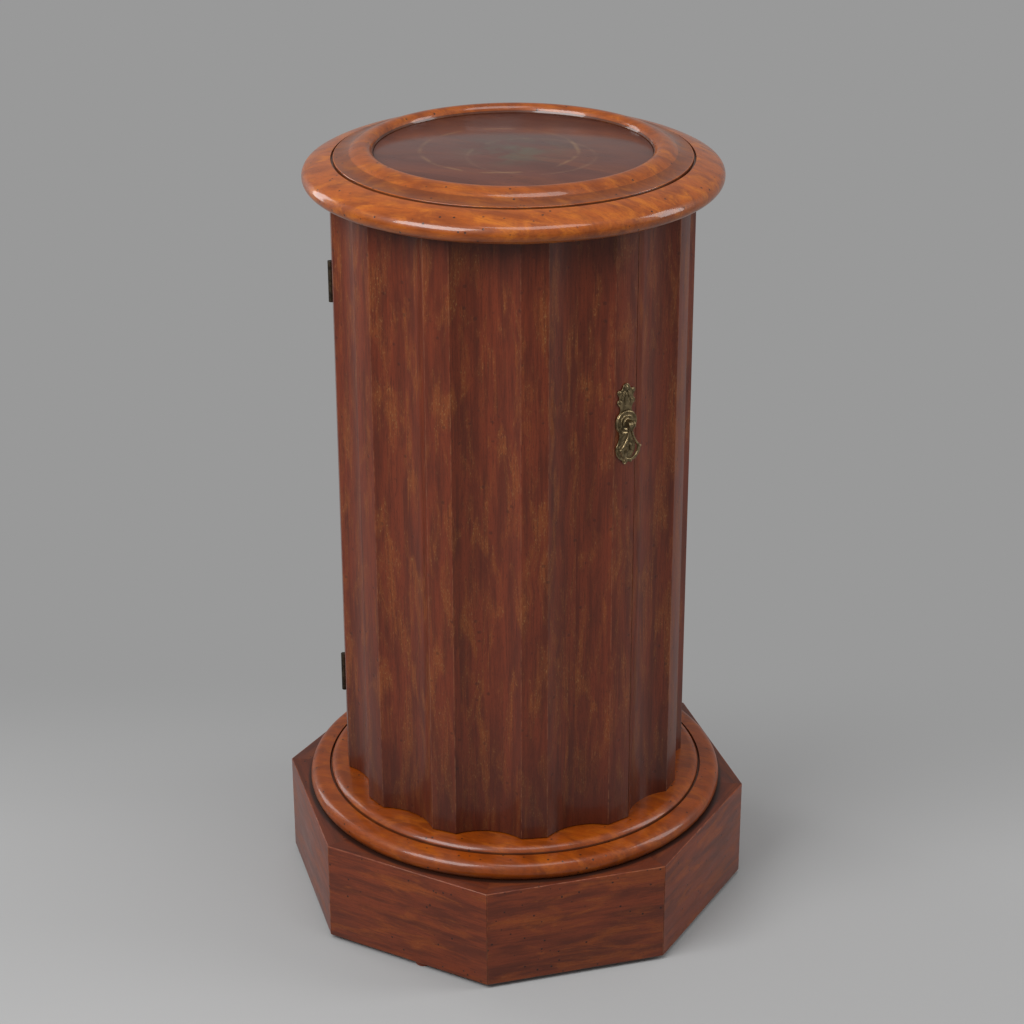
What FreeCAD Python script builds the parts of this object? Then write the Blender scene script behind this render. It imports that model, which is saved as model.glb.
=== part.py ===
import FreeCAD, Part
import math
import os

import Sketcher

# A cylindrical pot cupboard: an octagonal plinth, a fluted column with a curved door, and a moulded top.
# Millimetres, +Z up, the floor at zero and the column's axis on Z. The middle of the door faces -Y.
# Angles go round from -Y towards +X, so the door runs from minus to plus its half angle.

FULL_TURN = 360
LANDS = 12
DOOR_LANDS = 5
PLINTH_SIDES = 8
FEET = 3
FLUTE_PITCH = FULL_TURN / LANDS
PLINTH_PITCH = FULL_TURN / PLINTH_SIDES
FRONT = -90
BATTEN_PLACES = (100, 180, 260)
SCREW_PLACES = (45, 135, 225, 315)
ROUND_TO_SQUARE = math.cos(math.radians(PLINTH_PITCH / 2))

SIZES = {
    # Plinth and feet
    "foot_height": 4.0,
    "foot_radius": 8.0,
    "foot_turn": -2.0,
    "foot_inset": 9.0,
    "plinth_height": 100.0,
    "plinth_across": 421.0,
    "plinth_turn": -5.4,
    "plinth_board": 26.0,
    "plinth_top_board": 16.0,
    "glue_block_radius": 22.0,
    # Base moulding
    "moulding_height": 22.4,
    "moulding_radius": 203.7,
    "moulding_nose": 9.1,
    "moulding_nose_height": 7.0,
    "moulding_nose_end_inset": 7.5,
    "moulding_shoulder_height": 16.0,
    "moulding_shoulder_curve": 70.0,
    "moulding_quirk_inset": 18.7,
    "moulding_quirk_height": 17.0,
    "moulding_fillet_curve": 9.0,
    "moulding_flat_inset": 28.2,
    "moulding_bore": 100.0,
    # Fluted column
    "column_height": 592.2,
    "column_radius": 166.7,
    "column_bore": 143.0,
    "land_half_angle": 4.22,
    "flute_radius": 53.0,
    "seam": 0.8,
    "door_gap": 1.0,
    # Boards inside the column
    "board_gap": 0.3,
    "bottom_board": 12.0,
    "shelf_board": 12.0,
    "batten_height": 18.0,
    "batten_depth": 14.0,
    "batten_angle": 24.0,
    "carcass_top_board": 14.0,
    "stop_depth": 12.0,
    "stop_overlap": 3.0,
    "stop_width": 20.0,
    # Top ring and panel
    "top_height": 35.4,
    "top_radius": 191.0,
    "top_nose": 8.8,
    "top_nose_end_inset": 4.5,
    "top_shoulder_height": 16.5,
    "top_shoulder_curve": 63.0,
    "top_quirk_height": 24.2,
    "quirk_width": 2.6,
    "quirk_depth": 2.3,
    "quirk_lip": 0.9,
    "cove_curve": 34.0,
    "bead_radius": 136.0,
    "bead_half_width": 9.8,
    "bead_drop": 6.0,
    "panel_drop": 7.5,
    "panel_board": 14.0,
    "panel_gap": 0.2,
    "panel_ledge": 10.0,
    # Wood screws that hold the top and the moulding
    "screw_radius": 2.0,
    "screw_head_radius": 4.0,
    "screw_head_height": 2.2,
    "screw_bite": 14.0,
    "screw_clearance": 0.05,
    "top_screw_circle": 128.0,
    "moulding_screw_inset": 34.5,
    # Butt hinges
    "hinge_length": 38.0,
    "hinge_stand": 1.0,
    "hinge_inset": 75.1,
    "knuckle_radius": 2.6,
    "knuckle_gap": 0.2,
    "pin_radius": 1.2,
    "pin_clearance": 0.05,
    "pin_head_height": 1.2,
    "leaf_board": 1.0,
    "leaf_width": 19.0,
    "notch_clearance": 0.4,
    "small_screw_radius": 1.2,
    "small_screw_head": 2.4,
    "small_screw_head_height": 0.9,
    "small_screw_length": 12.0,
    # Ball catch
    "catch_drop": 31.5,
    "catch_radius": 155.0,
    "catch_barrel_radius": 4.5,
    "catch_barrel_length": 16.0,
    "catch_barrel_wall": 1.5,
    "ball_radius": 3.0,
    "ball_reach": 1.6,
    "ball_clearance": 0.05,
    "ball_mouth_clearance": 0.1,
    "ball_mouth_depth": 0.9,
    "spring_wire": 0.6,
    "spring_gap": 0.1,
    "strike_width": 14.0,
    "strike_length": 30.0,
    "strike_board": 1.0,
    "strike_hole": 2.3,
    # Drop handle
    "handle_depth": 181.0,
    "handle_turn": 60.0,
    "plate_board": 1.4,
    "plate_rise": 30.0,
    "plate_waist": 15.4,
    "plate_ear_radius": 5.0,
    "plate_ear_spread": 6.6,
    "plate_crest_rise": 33.5,
    "plate_crest_radius": 4.6,
    "plate_lobe_drop": 26.5,
    "plate_lobe_radius": 10.5,
    "plate_finial_drop": 36.8,
    "plate_finial_radius": 3.6,
    "boss_radius": 11.5,
    "boss_height": 2.2,
    "boss_crown": 9.0,
    "post_radius": 2.5,
    "post_clearance": 0.05,
    "fork_stand": 7.4,
    "fork_base": 1.0,
    "fork_gap": 0.2,
    "fork_cheek": 1.5,
    "fork_radius": 3.2,
    "nut_board": 4.0,
    "nut_radius": 5.0,
    "cross_pin_radius": 0.9,
    "cross_pin_clearance": 0.05,
    "eye_radius": 2.7,
    "eye_width": 3.6,
    "drop_board": 2.6,
    "drop_length": 34.5,
    "drop_radius": 10.8,
    "drop_rim": 2.3,
    "loop_tip": 6.0,
    "loop_tip_radius": 0.8,
    # How far a cutting solid runs past the face that it cuts
    "overrun": 5.0,
}


class Size:
    """A formula of the sheet's sizes, together with the number that it gives."""

    def __init__(self, formula, value):
        self.formula = formula
        self.value = value

    def __add__(self, other):
        return combine(self, "+", other)

    def __sub__(self, other):
        return combine(self, "-", other)

    def __mul__(self, other):
        return combine(self, "*", other)

    def __truediv__(self, other):
        return combine(self, "/", other)

    def __neg__(self):
        return self * -1


OPERATIONS = {
    "+": lambda left, right: left + right,
    "-": lambda left, right: left - right,
    "*": lambda left, right: left * right,
    "/": lambda left, right: left / right,
}


def as_size(number):
    """A plain number as a formula."""
    if isinstance(number, Size):
        return number
    return Size(f"({number!r})", number)


def combine(left, sign, right):
    """The formula and the number of two sizes joined by a sign."""
    left = as_size(left)
    right = as_size(right)
    return Size(f"({left.formula} {sign} {right.formula})", OPERATIONS[sign](left.value, right.value))


def root(size):
    """The square root of a size."""
    return Size(f"sqrt({size.formula})", math.sqrt(size.value))


def cosine(angle):
    """The cosine of an angle in degrees."""
    return Size(f"cos({angle.formula} * 1 deg)", math.cos(math.radians(angle.value)))


def sine(angle):
    """The sine of an angle in degrees."""
    return Size(f"sin({angle.formula} * 1 deg)", math.sin(math.radians(angle.value)))


doc = FreeCAD.newDocument("pot_cupboard")
sheet = doc.addObject("Spreadsheet::Sheet", "sizes")
for row, (alias, number) in enumerate(SIZES.items(), start=1):
    sheet.set(f"A{row}", alias)
    sheet.set(f"B{row}", str(number))
    sheet.setAlias(f"B{row}", alias)
doc.recompute()


def size(alias):
    """One driving size of the sheet."""
    return Size(f"sizes.{alias}", float(sheet.get(alias)))


pieces = []


def bind(thing, sizes):
    """Tie properties of an object to formulas of the sheet."""
    for name, amount in sizes.items():
        thing.setExpression(name, as_size(amount).formula)


def move(thing, x, y, z):
    """Tie an object's base point to formulas of the sheet."""
    bind(thing, {"Placement.Base.x": x, "Placement.Base.y": y, "Placement.Base.z": z})


UPWARD = FreeCAD.Rotation()
OUTWARD = FreeCAD.Rotation(FreeCAD.Vector(1, 0, 0), 90)
ONWARD = FreeCAD.Rotation(FreeCAD.Vector(0, 1, 0), 90)
BACKWARD = FreeCAD.Rotation(FreeCAD.Vector(0, 1, 0), -90)


LEFT = 1
RIGHT = -1


def about_axis(degrees):
    """A turn about the column's axis."""
    return FreeCAD.Rotation(FreeCAD.Vector(0, 0, 1), degrees)


def solid(kind, x, y, z, rotation=UPWARD, **sizes):
    """A primitive with its sizes and its base point tied to the sheet."""
    thing = doc.addObject("Part::" + kind, kind.lower())
    thing.Placement = FreeCAD.Placement(FreeCAD.Vector(), rotation)
    bind(thing, sizes)
    move(thing, x, y, z)
    return thing


def prism(sides, circumradius, z, height, degrees):
    """An upright prism with one corner at the given angle from +X."""
    thing = doc.addObject("Part::Prism", "prism")
    thing.Polygon = sides
    thing.Placement = FreeCAD.Placement(FreeCAD.Vector(), about_axis(degrees))
    bind(thing, {"Circumradius": circumradius, "Height": height})
    move(thing, 0, 0, z)
    return thing


def sector(radius, z, height, start, width):
    """A wedge of a disc from a start angle, both angles counted from -Y towards +X."""
    thing = doc.addObject("Part::Cylinder", "sector")
    thing.Placement = FreeCAD.Placement(FreeCAD.Vector(), about_axis(start + FRONT))
    bind(thing, {"Radius": radius, "Height": height, "Angle": width})
    move(thing, 0, 0, z)
    return thing


def polar(radius, degrees):
    """The place at a radius and an angle from -Y towards +X."""
    turn = math.radians(degrees + FRONT)
    return radius * math.cos(turn), radius * math.sin(turn)


def cut(base, *tools):
    """A solid less each tool in turn."""
    for tool in tools:
        less = doc.addObject("Part::Cut", "cut")
        less.Base = base
        less.Tool = tool
        base = less
    return base


def fuse(*things):
    """Solids joined into one."""
    joined = doc.addObject("Part::MultiFuse", "fuse")
    joined.Shapes = list(things)
    return joined


def common(base, tool):
    """What two solids share."""
    shared = doc.addObject("Part::Common", "common")
    shared.Base = base
    shared.Tool = tool
    return shared


def group(things):
    """Separate solids kept together in one object."""
    held = doc.addObject("Part::Compound", "group")
    held.Links = list(things)
    return held


def turned(thing, degrees):
    """An object made at the front, turned round the column to its own angle."""
    thing.Placement = FreeCAD.Placement(FreeCAD.Vector(), about_axis(degrees))
    return thing


def keep(thing, label):
    """Name a finished sub-part."""
    thing.Label = label
    pieces.append(thing)
    return thing


def bulge(start, end, radius, side):
    """The circle arc of a radius between two places, bulging to the left (1) or right (-1)."""
    chord = end - start
    middle = (start + end) * 0.5
    across = FreeCAD.Vector(-chord.y, chord.x, 0).normalize() * side
    centre = middle - across * math.sqrt(radius * radius - chord.Length * chord.Length / 4)
    first, last = (start, end) if side == RIGHT else (end, start)
    angles = [math.atan2(place.y - centre.y, place.x - centre.x) for place in (first, last)]
    if angles[1] < angles[0]:
        angles[1] += 2 * math.pi
    return Part.ArcOfCircle(Part.Circle(centre, FreeCAD.Vector(0, 0, 1), radius), *angles)


def turning(label, outline):
    """A turned ring: a sketch of radii and heights, revolved about the column's axis.

    Each corner is (radius, height) or (radius, height, curve, side), where the last two make
    the edge that arrives at this corner an arc of that radius.
    """
    body = doc.addObject("PartDesign::Body", "body")
    sketch = body.newObject("Sketcher::SketchObject", "outline")
    planes = [plane for plane in body.Origin.OriginFeatures if plane.Role == "XZ_Plane"]
    sketch.AttachmentSupport = (planes[0], [""])
    sketch.MapMode = "FlatFace"
    places = [FreeCAD.Vector(corner[0].value, corner[1].value, 0) for corner in outline]
    ends = []
    for number, corner in enumerate(outline):
        start = places[number - 1]
        end = places[number]
        if len(corner) == 2:
            sketch.addGeometry(Part.LineSegment(start, end), False)
        else:
            sketch.addGeometry(bulge(start, end, corner[2].value, corner[3]), False)
        backwards = len(corner) == 4 and corner[3] == LEFT
        ends.append((2, 1) if backwards else (1, 2))
    formulas = []
    for number, corner in enumerate(outline):
        following = (number + 1) % len(outline)
        last = ends[number][1]
        sketch.addConstraint(Sketcher.Constraint("Coincident", number, last, following, ends[following][0]))
        across = sketch.addConstraint(Sketcher.Constraint("DistanceX", number, last, places[number].x))
        up = sketch.addConstraint(Sketcher.Constraint("DistanceY", number, last, places[number].y))
        formulas.append((across, corner[0]))
        formulas.append((up, corner[1]))
        if len(corner) == 4:
            curve = sketch.addConstraint(Sketcher.Constraint("Radius", number, corner[2].value))
            formulas.append((curve, corner[2]))
    for constraint, amount in formulas:
        sketch.setExpression(f"Constraints[{constraint}]", amount.formula)
    doc.recompute()
    ring = body.newObject("PartDesign::Revolution", "revolved")
    ring.Profile = (sketch, [""])
    ring.ReferenceAxis = (sketch, ["V_Axis"])
    ring.Angle = FULL_TURN
    doc.recompute()
    return keep(body, label)


OVERRUN = size("overrun")
BOARD_GAP = size("board_gap")

# Levels, from the floor up
plinth_foot = size("foot_height")
moulding_foot = plinth_foot + size("plinth_height")
column_foot = moulding_foot + size("moulding_height")
top_foot = column_foot + size("column_height")
door_foot = column_foot + size("door_gap")
door_height = size("column_height") - size("door_gap") * 2

# Screws: a shank with a countersunk head, and the larger hole that takes it


def screw(x, y, z, rotation, shank, head, head_height, length, clearance=0):
    """One countersunk screw, or its hole where a clearance is given, from the centre of its head."""
    radius = as_size(clearance) + shank
    neck = solid("Cylinder", x, y, z, rotation, Radius=radius, Height=length)
    cone = solid("Cone", x, y, z, rotation, Radius1=as_size(clearance) + head, Radius2=radius,
                 Height=head_height)
    return fuse(neck, cone)


# Plinth: eight boards mitred at the corners, glue blocks behind the mitres, and a top board let in flush

side_half = size("plinth_across") / 2
inner_half = side_half - size("plinth_board")
plinth_corner = size("plinth_turn") + PLINTH_PITCH / 2 + PLINTH_PITCH * 2
outer_octagon = prism(PLINTH_SIDES, side_half / ROUND_TO_SQUARE, plinth_foot, size("plinth_height"),
                      plinth_corner.value + FRONT)
inner_octagon = prism(PLINTH_SIDES, inner_half / ROUND_TO_SQUARE, plinth_foot, size("plinth_height"),
                      plinth_corner.value + FRONT)
plinth_ring = cut(outer_octagon, inner_octagon)
for number in range(PLINTH_SIDES):
    corner = size("plinth_turn").value + PLINTH_PITCH * (number - 1 / 2)
    wedge = sector(size("plinth_across"), plinth_foot, size("plinth_height"), corner, PLINTH_PITCH)
    keep(common(plinth_ring, wedge), f"plinth_board_{number + 1}")

under_board = size("plinth_height") - size("plinth_top_board")
block_room = prism(PLINTH_SIDES, inner_half / ROUND_TO_SQUARE, plinth_foot, under_board,
                   plinth_corner.value + FRONT)
blocks = []
for number in range(PLINTH_SIDES):
    corner = size("plinth_turn").value + PLINTH_PITCH * (number - 1 / 2)
    x, y = polar(inner_half / ROUND_TO_SQUARE, corner)
    post = solid("Cylinder", x, y, plinth_foot, Radius=size("glue_block_radius"), Height=under_board)
    blocks.append(common(block_room, post))
keep(group(blocks), "plinth_glue_blocks")

for number in range(FEET):
    x, y = polar(side_half - size("foot_inset"), size("foot_turn").value + number * FULL_TURN / FEET)
    foot = solid("Cylinder", x, y, 0, Radius=size("foot_radius"), Height=plinth_foot)
    keep(foot, f"foot_pad_{number + 1}")


def screw_ring(circle, z, board, clearance=0):
    """Four upright screws on a circle, heads down in a board, or their holes."""
    screws = []
    for place in SCREW_PLACES:
        x, y = polar(circle, place)
        screws.append(screw(x, y, z, UPWARD, size("screw_radius"), size("screw_head_radius"),
                            size("screw_head_height"), board + size("screw_bite"), clearance))
    return group(screws)


plinth_lid = size("plinth_top_board")
plinth_top_foot = moulding_foot - plinth_lid
screw_circle = inner_half - size("moulding_screw_inset")
moulding_screws = screw_ring(screw_circle, plinth_top_foot, plinth_lid)
moulding_holes = screw_ring(screw_circle, plinth_top_foot, plinth_lid, size("screw_clearance"))
plinth_top = prism(PLINTH_SIDES, inner_half / ROUND_TO_SQUARE, plinth_top_foot, plinth_lid,
                   plinth_corner.value + FRONT)
keep(cut(plinth_top, moulding_holes), "plinth_top_board")
keep(moulding_screws, "moulding_screws")

# Base moulding: a turned ring with a half-round nose, a sunk quirk and a small fillet round the column's foot

nose_centre = size("moulding_radius") - size("moulding_nose")
nose_low = size("moulding_nose_height")
nose_under = root(size("moulding_nose") * size("moulding_nose") - nose_low * nose_low)
quirk = size("moulding_radius") - size("moulding_quirk_inset")
quirk_width = size("quirk_width")
base_moulding = turning("base_moulding_blank", [
    (size("moulding_bore"), moulding_foot),
    (nose_centre + nose_under, moulding_foot),
    (size("moulding_radius"), moulding_foot + nose_low, size("moulding_nose"), RIGHT),
    (size("moulding_radius") - size("moulding_nose_end_inset"), moulding_foot + size("moulding_shoulder_height"),
     size("moulding_nose"), RIGHT),
    (quirk, moulding_foot + size("moulding_quirk_height"), size("moulding_shoulder_curve"), RIGHT),
    (quirk - quirk_width / 2, moulding_foot + size("moulding_quirk_height") - size("quirk_depth")),
    (quirk - quirk_width, moulding_foot + size("moulding_quirk_height") + size("quirk_lip")),
    (size("moulding_radius") - size("moulding_flat_inset"), column_foot, size("moulding_fillet_curve"), RIGHT),
    (size("moulding_bore"), column_foot),
])
pieces.remove(base_moulding)
keep(cut(base_moulding, moulding_holes), "base_moulding")

# Column: a twelve-sided tube whose faces are the flat lands, with a round flute run between each two

pitch_half = FLUTE_PITCH / 2
flute_edge = as_size(pitch_half) - size("land_half_angle")
flute_half = size("column_radius") * sine(flute_edge)
flute_centre = (size("column_radius") * cosine(flute_edge)
                + root(size("flute_radius") * size("flute_radius") - flute_half * flute_half))
land_face = size("column_radius") * cosine(size("land_half_angle"))
column = prism(LANDS, land_face / math.cos(math.radians(pitch_half)), column_foot, size("column_height"),
               pitch_half)
column = cut(column, solid("Cylinder", 0, 0, column_foot - OVERRUN, Radius=size("column_bore"),
                           Height=size("column_height") + OVERRUN * 2))
for number in range(LANDS):
    x, y = polar(flute_centre, FLUTE_PITCH * (number + 1 / 2))
    column = cut(column, solid("Cylinder", x, y, column_foot - OVERRUN, Radius=size("flute_radius"),
                               Height=size("column_height") + OVERRUN * 2))

door_half = size("land_half_angle") + FLUTE_PITCH * (DOOR_LANDS - 1) / 2
seam_half = size("seam") / 2
seam_angle = seam_half / size("column_radius") * (180 / math.pi)
sweep_radius = size("column_radius") + OVERRUN


def staves(first, last, z, height):
    """The staves between two seams, jointed in the middle of each flute but the one beside a seam."""
    joints = [FLUTE_PITCH * (number + 1 / 2) for number in range(-LANDS, LANDS)]
    joints = [as_size(joint) for joint in joints
              if first.value + FLUTE_PITCH / 2 < joint < last.value - FLUTE_PITCH / 2]
    edges = [first, *joints, last]
    return [common(column, sector(sweep_radius, z, height, start.value, end - start))
            for start, end in zip(edges, edges[1:])]


door_staves = staves(-(door_half - seam_angle), door_half - seam_angle, door_foot, door_height)
carcass_staves = staves(door_half + seam_angle, as_size(FULL_TURN) - door_half - seam_angle, column_foot,
                        size("column_height"))

# Hinges: brass butts let into the seam, each with three knuckles just outside the column's corner

hinge_line = size("column_radius") + size("hinge_stand")
hinge_turn = -door_half.value
knuckle = size("knuckle_radius")
knuckle_gap = size("knuckle_gap")
knuckle_length = (size("hinge_length") - knuckle_gap * 2) / 3
middle_foot = knuckle_length + knuckle_gap
top_knuckle_foot = middle_foot * 2
leaf_board = size("leaf_board")
leaf_width = size("leaf_width")
hinge_screw_share = 0.28
leaf_middle_share = 0.55
notches = []
carcass_recesses = []
door_recesses = []
carcass_hinge_screws = []
door_hinge_screws = []


def hinge_screws(foot, face, rotation, clearance=0):
    """The two screws of one leaf, or their holes."""
    screws = []
    for share in (-hinge_screw_share, hinge_screw_share):
        screws.append(screw(face, -(hinge_line - leaf_width * leaf_middle_share),
                            foot + size("hinge_length") * (share + 0.5), rotation,
                            size("small_screw_radius"), size("small_screw_head"),
                            size("small_screw_head_height"), size("small_screw_length"), clearance))
    return screws


for name, foot in (("lower", column_foot + size("hinge_inset")),
                   ("upper", top_foot - size("hinge_inset") - size("hinge_length"))):
    bore = solid("Cylinder", 0, -hinge_line, foot - OVERRUN, Radius=size("pin_radius") + size("pin_clearance"),
                 Height=size("hinge_length") + OVERRUN * 2)
    clear = knuckle + knuckle_gap
    low = solid("Cylinder", 0, -hinge_line, foot, Radius=knuckle, Height=knuckle_length)
    middle = solid("Cylinder", 0, -hinge_line, foot + middle_foot, Radius=knuckle, Height=knuckle_length)
    high = solid("Cylinder", 0, -hinge_line, foot + top_knuckle_foot, Radius=knuckle, Height=knuckle_length)
    low_room = solid("Cylinder", 0, -hinge_line, foot - OVERRUN, Radius=clear,
                     Height=middle_foot + OVERRUN)
    middle_room = solid("Cylinder", 0, -hinge_line, foot + knuckle_length, Radius=clear,
                        Height=knuckle_length + knuckle_gap * 2)
    high_room = solid("Cylinder", 0, -hinge_line, foot + top_knuckle_foot - knuckle_gap, Radius=clear,
                      Height=middle_foot + OVERRUN)

    fixed_plate = solid("Box", -(seam_half + leaf_board), -hinge_line, foot,
                        Length=leaf_board, Width=leaf_width, Height=size("hinge_length"))
    swung_plate = solid("Box", seam_half, -hinge_line, foot,
                        Length=leaf_board, Width=leaf_width, Height=size("hinge_length"))
    fixed_holes = hinge_screws(foot, -seam_half, BACKWARD, size("screw_clearance"))
    swung_holes = hinge_screws(foot, seam_half, ONWARD, size("screw_clearance"))
    fixed_leaf = cut(fuse(cut(fixed_plate, middle_room), low, high), bore, *fixed_holes)
    swung_leaf = cut(fuse(cut(swung_plate, low_room, high_room), middle), bore, *swung_holes)
    keep(turned(fixed_leaf, hinge_turn), f"{name}_hinge_fixed_leaf")
    keep(turned(swung_leaf, hinge_turn), f"{name}_hinge_door_leaf")

    shaft = solid("Cylinder", 0, -hinge_line, foot, Radius=size("pin_radius"),
                  Height=size("hinge_length") + size("pin_head_height"))
    head = solid("Cylinder", 0, -hinge_line, foot + size("hinge_length"), Radius=knuckle,
                 Height=size("pin_head_height"))
    keep(turned(fuse(shaft, head), hinge_turn), f"{name}_hinge_pin")

    spare = size("notch_clearance") + size("pin_head_height")
    notch = solid("Cylinder", 0, -hinge_line, foot - spare, Radius=knuckle + size("notch_clearance"),
                  Height=size("hinge_length") + spare * 2)
    fixed_recess = solid("Box", -(seam_half + leaf_board), -hinge_line, foot,
                         Length=seam_half + leaf_board, Width=leaf_width, Height=size("hinge_length"))
    swung_recess = solid("Box", 0, -hinge_line, foot,
                         Length=seam_half + leaf_board, Width=leaf_width, Height=size("hinge_length"))
    notches.append(notch)
    carcass_recesses += [fixed_recess, *fixed_holes]
    door_recesses += [swung_recess, *swung_holes]
    carcass_hinge_screws += hinge_screws(foot, -seam_half, BACKWARD)
    door_hinge_screws += hinge_screws(foot, seam_half, ONWARD)

keep(turned(group(carcass_hinge_screws), hinge_turn), "hinge_screws_fixed")
keep(turned(group(door_hinge_screws), hinge_turn), "hinge_screws_door")
for recess in notches + carcass_recesses:
    carcass_staves[-1] = cut(carcass_staves[-1], turned(group([recess]), hinge_turn))
for recess in notches + door_recesses:
    door_staves[0] = cut(door_staves[0], turned(group([recess]), hinge_turn))

# Ball catch: a brass barrel in the door's closing edge, and a strike plate let into the stave beside it

catch_turn = door_half.value
catch_level = top_foot - size("handle_depth") - size("catch_drop")
catch_line = -size("catch_radius")
ball = size("ball_radius")
ball_place = -(seam_half + ball - size("ball_reach"))
ball_bore = ball + size("ball_clearance")
ball_depth = ball - size("ball_reach")
mouth = root(ball * ball - ball_depth * ball_depth) + size("ball_mouth_clearance")
barrel_floor = size("catch_barrel_length") - size("catch_barrel_wall")

barrel = solid("Cylinder", -seam_half, catch_line, catch_level, BACKWARD,
               Radius=size("catch_barrel_radius"), Height=size("catch_barrel_length"))
barrel_bore = solid("Cylinder", -(seam_half + size("ball_mouth_depth")), catch_line, catch_level, BACKWARD,
                    Radius=ball_bore, Height=barrel_floor - size("ball_mouth_depth"))
barrel_mouth = solid("Cone", -seam_half, catch_line, catch_level, BACKWARD,
                     Radius1=mouth, Radius2=ball_bore, Height=size("ball_mouth_depth"))
keep(turned(cut(barrel, barrel_bore, barrel_mouth), catch_turn), "catch_barrel")

catch_ball = solid("Sphere", ball_place, catch_line, catch_level, Radius=ball)
keep(turned(group([catch_ball]), catch_turn), "catch_ball")

spring_start = ball_place - ball - size("spring_gap")
spring_length = barrel_floor - (as_size(0) - spring_start - seam_half)
spring_radius = ball_bore - size("spring_gap")
coil = solid("Cylinder", spring_start, catch_line, catch_level, BACKWARD, Radius=spring_radius,
             Height=spring_length)
coil_bore = solid("Cylinder", spring_start + OVERRUN, catch_line, catch_level, BACKWARD,
                  Radius=spring_radius - size("spring_wire"), Height=spring_length + OVERRUN * 2)
keep(turned(cut(coil, coil_bore), catch_turn), "catch_spring")

barrel_hole = solid("Cylinder", 0, catch_line, catch_level, BACKWARD,
                    Radius=size("catch_barrel_radius") + size("screw_clearance"),
                    Height=seam_half + size("catch_barrel_length"))
door_staves[-1] = cut(door_staves[-1], turned(group([barrel_hole]), catch_turn))

strike_share = 0.36
strike = solid("Box", seam_half, catch_line - size("strike_width") / 2,
               catch_level - size("strike_length") / 2, Length=size("strike_board"),
               Width=size("strike_width"), Height=size("strike_length"))
strike_eye = solid("Cylinder", 0, catch_line, catch_level, ONWARD, Radius=size("strike_hole"),
                   Height=seam_half + size("strike_board") + OVERRUN)
strike_recess = solid("Box", 0, catch_line - size("strike_width") / 2,
                      catch_level - size("strike_length") / 2, Length=seam_half + size("strike_board"),
                      Width=size("strike_width"), Height=size("strike_length"))


def strike_screws(clearance=0):
    """The two screws of the strike plate, or their holes."""
    return [screw(seam_half, catch_line, catch_level + size("strike_length") * share, ONWARD,
                  size("small_screw_radius"), size("small_screw_head"), size("small_screw_head_height"),
                  size("small_screw_length"), clearance) for share in (-strike_share, strike_share)]


strike_holes = strike_screws(size("screw_clearance"))
keep(turned(cut(strike, strike_eye, *strike_holes), catch_turn), "strike_plate")
keep(turned(group(strike_screws()), catch_turn), "strike_screws")
for recess in [strike_recess, *strike_holes]:
    carcass_staves[0] = cut(carcass_staves[0], turned(group([recess]), catch_turn))

# Drop handle: a cast brass plate and boss, a threaded post with a fork, and a pear-shaped loop on a cross pin

handle_turn = size("handle_turn").value
handle_level = top_foot - size("handle_depth")
face = -land_face
plate_front = face - size("plate_board")
boss_front = plate_front - size("boss_height")
crest = handle_level + size("plate_crest_rise")
ears = handle_level + size("plate_rise")


def disc(x, z, back, thickness, radius):
    """A round disc that stands outward from a face."""
    return solid("Cylinder", x, back, z, OUTWARD, Radius=radius, Height=thickness)


post_hole = disc(0, handle_level, as_size(0) - size("column_bore") + OVERRUN,
                 land_face - size("column_bore") + OVERRUN * 3, size("post_radius") + size("post_clearance"))
plate = fuse(
    disc(0, handle_level, face, size("plate_board"), size("boss_radius")),
    solid("Box", -(size("plate_waist") / 2), plate_front, handle_level, Length=size("plate_waist"),
          Width=size("plate_board"), Height=size("plate_rise")),
    disc(-size("plate_ear_spread"), ears, face, size("plate_board"), size("plate_ear_radius")),
    disc(size("plate_ear_spread"), ears, face, size("plate_board"), size("plate_ear_radius")),
    disc(0, crest, face, size("plate_board"), size("plate_crest_radius")),
    disc(0, handle_level - size("plate_lobe_drop"), face, size("plate_board"), size("plate_lobe_radius")),
    solid("Box", -(size("plate_waist") / 2), plate_front, handle_level - size("plate_lobe_drop"),
          Length=size("plate_waist"), Width=size("plate_board"), Height=size("plate_lobe_drop")),
    disc(0, handle_level - size("plate_finial_drop"), face, size("plate_board"), size("plate_finial_radius")),
)
keep(turned(cut(plate, post_hole), handle_turn), "handle_backplate")

boss = solid("Cone", 0, plate_front, handle_level, OUTWARD, Radius1=size("boss_radius"),
             Radius2=size("boss_crown"), Height=size("boss_height"))
keep(turned(cut(boss, post_hole), handle_turn), "handle_boss")

nut_face = -(size("column_bore") - size("panel_gap"))
nut = doc.addObject("Part::Prism", "nut")
nut.Polygon = 6
nut.Placement = FreeCAD.Placement(FreeCAD.Vector(), OUTWARD)
bind(nut, {"Circumradius": size("nut_radius"), "Height": size("nut_board")})
move(nut, 0, nut_face + size("nut_board"), handle_level)
keep(turned(cut(nut, post_hole), handle_turn), "handle_nut")

pin_line = boss_front - size("fork_stand") + size("fork_radius")
post_back = nut_face + size("nut_board")
cheek_half = size("eye_width") / 2 + size("fork_gap")
fork_half = cheek_half + size("fork_cheek")
shank = solid("Cylinder", 0, post_back, handle_level, OUTWARD, Radius=size("post_radius"),
              Height=post_back - boss_front)
fork = solid("Cylinder", -fork_half, pin_line, handle_level, ONWARD, Radius=size("fork_radius"),
             Height=fork_half * 2)
fork_neck = solid("Box", -fork_half, pin_line, handle_level - size("post_radius"), Length=fork_half * 2,
                  Width=boss_front - pin_line, Height=size("post_radius") * 2)
fork_base = disc(0, handle_level, boss_front, size("fork_base"), fork_half)
fork_slot = solid("Box", -cheek_half, boss_front - size("fork_stand") - OVERRUN,
                  handle_level - size("fork_radius") - OVERRUN, Length=cheek_half * 2,
                  Width=size("fork_stand") - size("fork_base") + OVERRUN,
                  Height=(size("fork_radius") + OVERRUN) * 2)
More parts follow.
